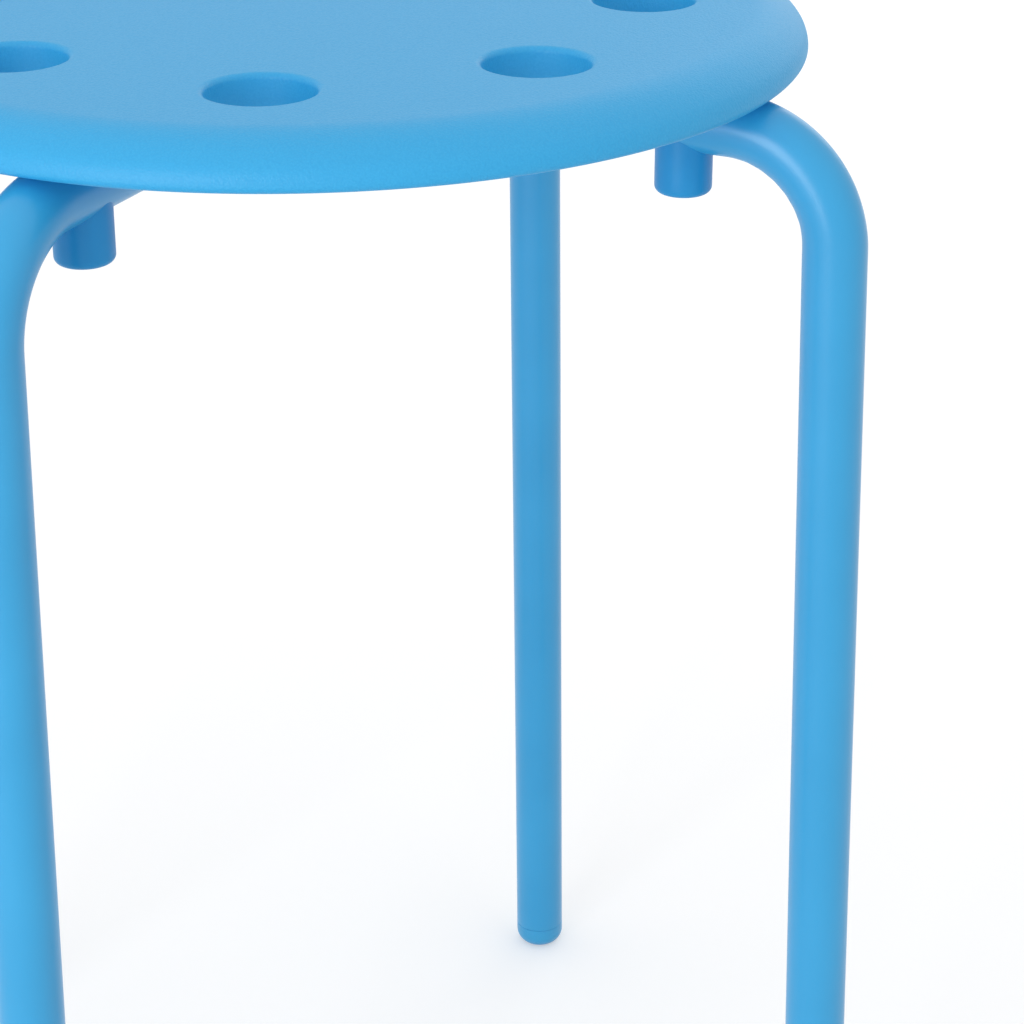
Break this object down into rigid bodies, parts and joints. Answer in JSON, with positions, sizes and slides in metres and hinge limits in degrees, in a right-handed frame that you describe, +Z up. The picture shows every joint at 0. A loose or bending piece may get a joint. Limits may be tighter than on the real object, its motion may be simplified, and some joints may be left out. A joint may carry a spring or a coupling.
{
  "type": "stacking stool",
  "caption": "Round stacking stool: moulded seat with finger holes on four splayed legs of bent tube, with studs that space the next stool in a stack.",
  "frame": {"origin": "on the floor at the centre between the four feet", "axes": "+Z up; the arms and legs lie along X and Y, the full tube along X"},
  "size_m": [0.3822, 0.3822, 0.45],
  "materials": {
    "seat_plastic": "moulded polypropylene with a fine pebble grain",
    "frame_enamel": "smooth powder coat, soft gloss",
    "stud_plastic": "smooth moulded nylon",
    "foot_plastic": "smooth moulded polyethylene",
    "zinc_steel": "zinc plated",
    "brass": "turned"
  },
  "bodies": {
    "root": {"seat_shell": "seat_plastic", "frame_tube_through": "frame_enamel", "frame_tube_half_front": "frame_enamel", "frame_tube_half_rear": "frame_enamel", "centre_plate": "frame_enamel", "stacking_stud_1": "stud_plastic", "foot_plug_1": "foot_plastic", "stud_screw_1": "zinc_steel", "plate_screw_1": "zinc_steel", "seat_insert_1": "brass", "stacking_stud_2": "stud_plastic", "foot_plug_2": "foot_plastic", "stud_screw_2": "zinc_steel", "plate_screw_2": "zinc_steel", "seat_insert_2": "brass", "stacking_stud_3": "stud_plastic", "foot_plug_3": "foot_plastic", "stud_screw_3": "zinc_steel", "plate_screw_3": "zinc_steel", "seat_insert_3": "brass", "stacking_stud_4": "stud_plastic", "foot_plug_4": "foot_plastic", "stud_screw_4": "zinc_steel", "plate_screw_4": "zinc_steel", "seat_insert_4": "brass"}
  },
  "joints": []
}
